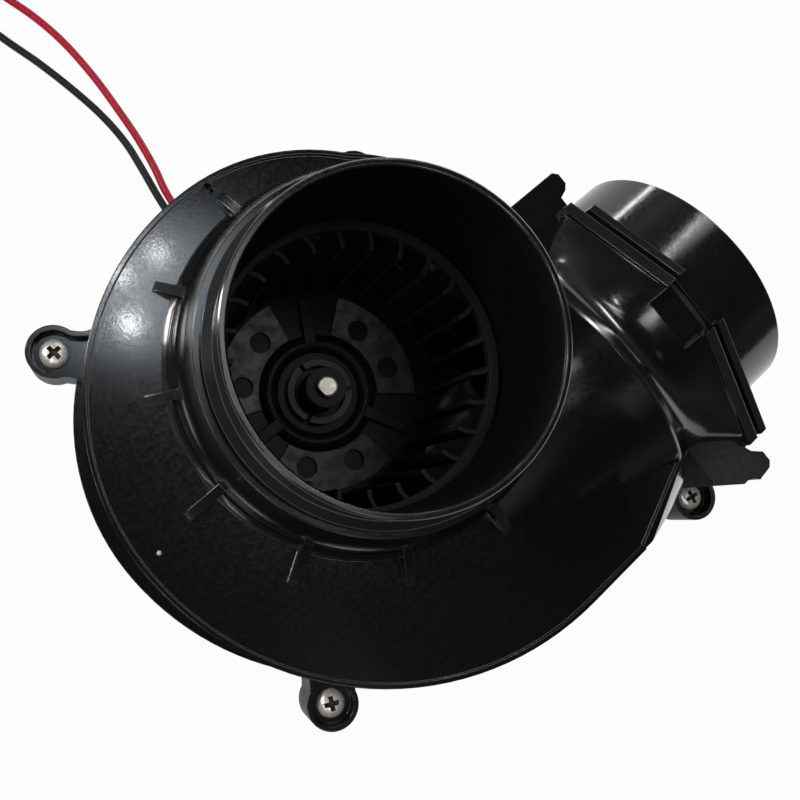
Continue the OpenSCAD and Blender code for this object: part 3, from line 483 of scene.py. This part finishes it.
# shaft with its flat and a chamfered end
def makeShaft():
    look = {"r": 3.0, "low": 2.0, "top": 61.5, "lowSoft": 0.3, "topSoft": 0.45, "steps": 72,
            "flatFrom": 52.5, "flatAt": 2.3, "flatRing": 5, "turn": 184}
    turn = math.radians(look["turn"])
    ca, sa = math.cos(turn), math.sin(turn)

    def flatten(x, y, ring):
        if ring < look["flatRing"]:
            return x, y
        u, v = x * ca + y * sa, -x * sa + y * ca
        u = min(u, look["flatAt"])
        return u * ca - v * sa, u * sa + v * ca

    bm = bmesh.new()
    r, low, top, flatFrom = look["r"], look["low"], look["top"], look["flatFrom"]
    latheInto(bm, [
        (0, low), (r - look["lowSoft"], low), (r, low + look["lowSoft"]), (r, flatFrom - 4), (r, flatFrom),
        (r, flatFrom), (r, top - look["topSoft"]), (r - look["topSoft"], top), (0, top),
    ], look["steps"], flatten)
    bmesh.ops.remove_doubles(bm, verts=bm.verts, dist=joinReach)
    bmesh.ops.recalc_face_normals(bm, faces=bm.faces)
    mesh = bpy.data.meshes.new("shaftPiece")
    bm.to_mesh(mesh)
    bm.free()
    shadeByAngle(mesh, 30)
    shaft = bpy.data.objects.new("shaftPiece", mesh)
    scene.collection.objects.link(shaft)
    mesh.materials.append(paint["shaft_steel"])
    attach(shaft, "rotor")
    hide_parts("motor_shaft")


makeShaft()
print("shaft made")

# leads: a given route to the edge of the picture, then the coil
leadLook = {"d": 2.6, "steps": 6, "coilSpot": (-6, 192), "coilSteps": 40, "coilLow": 1.9, "coilEnd": 9.2,
            "climb": 2.65, "climbTurns": 2}
blackRoute = [
    (9, 29.5, 5.5), (9, 34, 5.5), (9, 40, 4.9), (9, 47, 3.6), (9, 55, 2.2), (9.2, 64, 1.5),
    (9.8, 74, 1.4), (11, 84, 1.4), (13, 95, 1.4), (14.4, 105, 1.4), (14.2, 116, 1.4),
    (12.4, 128, 1.4), (9.2, 142, 1.4), (5, 156, 1.4), (3, 166, 1.4), (3.4, 175, 1.5),
    (5.6, 184, 1.7),
]
redRoute = [
    (12.5, 29.5, 5.5), (12.5, 34, 5.5), (12.5, 40, 4.9), (12.5, 47, 3.6), (12.5, 55, 2.2),
    (12.6, 64, 1.5), (13, 74, 1.4), (14.2, 84, 1.4), (16.6, 93, 1.4), (18.6, 104, 1.4),
    (19.8, 116, 1.4), (20.6, 129, 1.4), (20.2, 143, 1.4), (18.2, 155, 1.4), (14.8, 166, 1.4),
    (11.8, 175, 1.5), (10.2, 184, 1.7),
]


def smoothLine(points, steps):
    out = []
    n = len(points)
    for i in range(n - 1):
        p0 = points[max(i - 1, 0)]
        p1, p2 = points[i], points[i + 1]
        p3 = points[min(i + 2, n - 1)]
        for k in range(steps):
            t = k / steps
            out.append(0.5 * (2 * p1 + (p2 - p0) * t + (2 * p0 - 5 * p1 + 4 * p2 - p3) * t * t
                              + (3 * p1 - p0 - 3 * p2 + p3) * t ** 3))
    out.append(points[-1])
    return out


def coilLine(radius, turns):
    cx, cy = leadLook["coilSpot"]
    out = []
    count = int(turns * leadLook["coilSteps"])
    full = leadLook["climbTurns"]
    for i in range(count + 1):
        t = turns * i / count
        z = leadLook["coilLow"] + leadLook["climb"] * min(t, full)
        if t > full:
            z += (leadLook["coilEnd"] - z) * (t - full) / (turns - full)
        a = 2 * math.pi * t
        out.append(Vector((cx + radius * math.cos(a), cy + radius * math.sin(a), z)))
    return out


def lineLength(points):
    return sum((b - a).length for a, b in zip(points, points[1:]))


def layLead(name, route, radius, turns, slotName):
    coil = coilLine(radius, turns)
    points = smoothLine([Vector(p) for p in route] + coil[:1], leadLook["steps"])[:-1] + coil
    data = bpy.data.curves.new(name, "CURVE")
    data.dimensions = "3D"
    data.bevel_depth = leadLook["d"] / 2 * mm
    data.bevel_resolution = 4
    data.use_fill_caps = True
    spline = data.splines.new("POLY")
    spline.points.add(len(points) - 1)
    for spot, p in zip(spline.points, points):
        spot.co = (*(p * mm), 1)
    spline.use_smooth = True
    obj = bpy.data.objects.new(name, data)
    scene.collection.objects.link(obj)
    data.materials.append(paint[slotName])
    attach(obj, "housing")
    long = lineLength(points) * mm
    print(name, "length", round(long, 4))
    return obj, long


blackLead, blackLong = layLead("blackLead", blackRoute, 13.2, 2.65, "black_insulation")
redLead, redLong = layLead("redLead", redRoute, 15.9, 2.2, "red_insulation")
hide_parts("black_lead")
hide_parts("red_lead", "lead_coil")
print("leads laid")


# the floor is white to the eye and in reflections, and keeps a trace of the shadow
floorLook = {"half": 8.0, "low": -0.0001, "color": (0.95, 0.95, 0.95), "rough": 0.9,
             "white": 1.0, "share": 0.95}


def seenDirectly(tree):
    path = addNode(tree, "ShaderNodeLightPath")
    first = addNode(tree, "ShaderNodeMath", operation="MAXIMUM")
    tree.links.new(path.outputs["Is Camera Ray"], first.inputs[0])
    tree.links.new(path.outputs["Is Glossy Ray"], first.inputs[1])
    second = addNode(tree, "ShaderNodeMath", operation="MAXIMUM")
    tree.links.new(first.outputs["Value"], second.inputs[0])
    tree.links.new(path.outputs["Is Transmission Ray"], second.inputs[1])
    return second.outputs["Value"]


def makeFloor():
    mesh = bpy.data.meshes.new("floor")
    bm = bmesh.new()
    bmesh.ops.create_grid(bm, x_segments=1, y_segments=1, size=floorLook["half"])
    bm.to_mesh(mesh)
    bm.free()
    floor = bpy.data.objects.new("floor", mesh)
    floor.location = (0, 0, floorLook["low"])
    scene.collection.objects.link(floor)
    mat, tree, bsdf = newMat("floorWhite", floorLook["color"], floorLook["rough"], spec=0.0)
    glow = addNode(tree, "ShaderNodeEmission")
    glow.inputs["Strength"].default_value = floorLook["white"]
    mix = addNode(tree, "ShaderNodeMixShader")
    tree.links.new(product(tree, seenDirectly(tree), floorLook["share"]), mix.inputs["Fac"])
    tree.links.new(bsdf.outputs["BSDF"], mix.inputs[1])
    tree.links.new(glow.outputs["Emission"], mix.inputs[2])
    tree.links.new(mix.outputs["Shader"], tree.nodes["Material Output"].inputs["Surface"])
    mesh.materials.append(mat)


# lamps fade out towards their edges, as soft boxes do
def softEdges(data):
    data.use_nodes = True
    tree = data.node_tree
    parts = addNode(tree, "ShaderNodeSeparateXYZ")
    tree.links.new(addNode(tree, "ShaderNodeNewGeometry").outputs["Parametric"], parts.inputs["Vector"])
    hills = []
    for axis in "XY":
        rest = addNode(tree, "ShaderNodeMath", operation="SUBTRACT")
        rest.inputs[0].default_value = 1.0
        tree.links.new(parts.outputs[axis], rest.inputs[1])
        hill = product(tree, parts.outputs[axis], rest.outputs["Value"])
        hills.append(product(tree, hill, 6.0))  # keeps the lamp's power
    tree.links.new(product(tree, *hills), tree.nodes["Emission"].inputs["Strength"])


def addArea(name, spot, aim, size, power, color=(1, 1, 1)):
    data = bpy.data.lights.new(name, "AREA")
    data.shape = "RECTANGLE"
    data.size, data.size_y = size
    data.energy = power
    data.color = color
    softEdges(data)
    lamp = bpy.data.objects.new(name, data)
    lamp.location = spot
    way = Vector(aim) - Vector(spot)
    lamp.rotation_euler = way.to_track_quat("-Z", "Y").to_euler()
    lamp.visible_camera = False
    scene.collection.objects.link(lamp)


# room: a pale band above the horizon, a dark ceiling, and one dim side
roomLook = {
    "steps": ((0.0, 0.06), (0.14, 0.18), (0.30, 0.36), (0.50, 0.12), (0.70, 0.04)),  # height and level
    "dimWay": (0.4, -0.9, 0), "dimSpan": (-0.2, 0.6), "dim": 0.32,
}


def makeWorld():
    world = bpy.data.worlds.new("studio")
    scene.world = world
    world.use_nodes = True
    tree = world.node_tree
    back = tree.nodes["Background"]
    spot = addNode(tree, "ShaderNodeTexCoord")
    parts = addNode(tree, "ShaderNodeSeparateXYZ")
    tree.links.new(spot.outputs["Generated"], parts.inputs["Vector"])
    rise = addNode(tree, "ShaderNodeValToRGB")
    while len(rise.color_ramp.elements) < len(roomLook["steps"]):
        rise.color_ramp.elements.new(0.5)
    for stop, (at, level) in zip(rise.color_ramp.elements, roomLook["steps"]):
        stop.position = at
        stop.color = (level, level, level, 1)
    tree.links.new(parts.outputs["Z"], rise.inputs["Fac"])
    toward = addNode(tree, "ShaderNodeVectorMath", operation="DOT_PRODUCT")
    toward.inputs[1].default_value = roomLook["dimWay"]
    tree.links.new(spot.outputs["Generated"], toward.inputs[0])
    dim = mapRange(tree, toward.outputs["Value"], *roomLook["dimSpan"], 1.0, roomLook["dim"])
    tree.links.new(product(tree, rise.outputs["Color"], dim), back.inputs["Strength"])
    back.inputs["Color"].default_value = (1, 1, 1, 1)


makeFloor()
makeWorld()

# lamps: place, what they point at, size and watts; the small ones each make one highlight of the photo
aims = {
    "fan": (0.02, -0.015, 0.09), "face": (-0.04, 0.04, 0.1), "pipe": (0.09, -0.03, 0.1),
    "pipeSide": (0.09, -0.03, 0.09), "throat": (0.06, -0.03, 0.107), "ridge": (0.05, -0.03, 0.113),
    "throatSide": (0.06, -0.013, 0.096), "duct": (0.05, -0.05, 0.115), "hook": (0.066, -0.09, 0.093),
    "lip": (-0.04, 0.0, 0.1), "rim": (0.03, -0.02, 0.142),
}
lamps = {
    "backLeft": ((-0.35, 0.63, 0.76), "fan", (0.24, 0.24), 3.0),
    "lowBackLeft": ((-0.48, 0.84, 0.23), "fan", (0.24, 0.24), 3.6),
    "overLeft": ((-0.41, 0.235, 0.96), "fan", (0.24, 0.24), 0.9),
    "overFront": ((-0.46, -0.144, 0.96), "fan", (0.24, 0.24), 0.8),
    "overNear": ((-0.23, -0.45, 0.96), "fan", (0.24, 0.24), 0.6),
    "overHub": ((0.215, -0.02, 1.0), "fan", (0.28, 0.28), 0.7),
    "rightBack": ((0.66, 0.36, 0.76), "fan", (0.24, 0.24), 0.35),
    "facePatch": ((0.115, 0.20, 1.0), "face", (0.30, 0.20), 0.33, (0.76, 0.89, 1.0)),  # slightly blue
    "faceSpot0": ((0.144, 0.211, 0.98), "face", (0.022, 0.022), 0.044),
    "faceSpot1": ((0.098, 0.217, 0.98), "face", (0.022, 0.022), 0.050),
    "faceSpot2": ((0.071, 0.169, 0.98), "face", (0.022, 0.022), 0.076),
    "pipeStreak": ((0.80, 0.57, 1.0), "pipe", (0.09, 0.5), 0.62),
    "lowStrip": ((0.74, 0.98, 0.04), "pipeSide", (0.8, 0.06), 2.2),
    "throatSpot": ((0.49, 0.51, 0.86), "throat", (0.09, 0.06), 0.22),
    "ridgeStrip": ((0.93, 0.24, 0.475), "ridge", (0.45, 0.10), 1.5),
    "dotSpot": ((0.28, 0.94, 0.31), "throatSide", (0.07, 0.07), 0.1),
    "bandStrip": ((-0.05, -0.58, 0.97), "duct", (0.14, 0.9), 0.035),
    "hookGlow": ((0.55, -0.455, 1.0), "hook", (0.15, 0.15), 0.016),
    "edgeGlow": ((-1.0, -0.08, 0.22), "lip", (0.5, 0.16), 0.4),
    "rimGlow": ((-0.61, 0.62, 0.57), "rim", (0.32, 0.22), 0.03),
}
for name, (spot, aim, *rest) in lamps.items():
    addArea(name, spot, aims[aim], *rest)
scene.view_settings.view_transform = "Standard"
print("stage set")

print("scene done")
